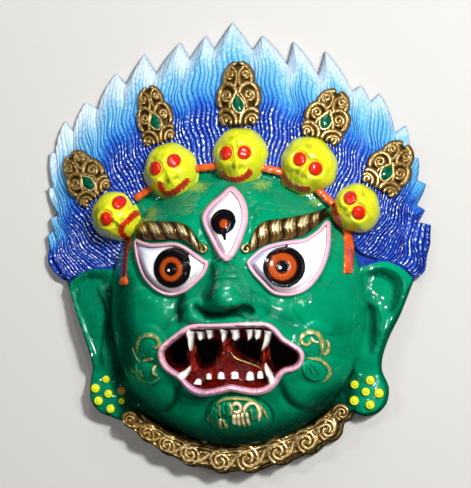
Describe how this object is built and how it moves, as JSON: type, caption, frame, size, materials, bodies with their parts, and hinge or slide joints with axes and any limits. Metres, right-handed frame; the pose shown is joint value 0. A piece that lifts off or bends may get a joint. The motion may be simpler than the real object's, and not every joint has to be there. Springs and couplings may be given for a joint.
{
  "type": "wall mask",
  "caption": "Hollow face mask with bulging eyes, open fanged mouth with holes through it, long ears and a flame hair crown set with skulls; lies on its flat back rim",
  "frame": {"origin": "centre of the mask's outline, on the surface that its flat back rim rests on", "axes": "+X to the viewer's right, +Y towards the flame tips, +Z out of the face"},
  "size_m": [0.2518, 0.2957, 0.107],
  "materials": {
    "enamel": "cast resin under gloss enamel paint, with gold rubbed on the carving"
  },
  "bodies": {
    "root": {"mask": "enamel"}
  },
  "joints": []
}
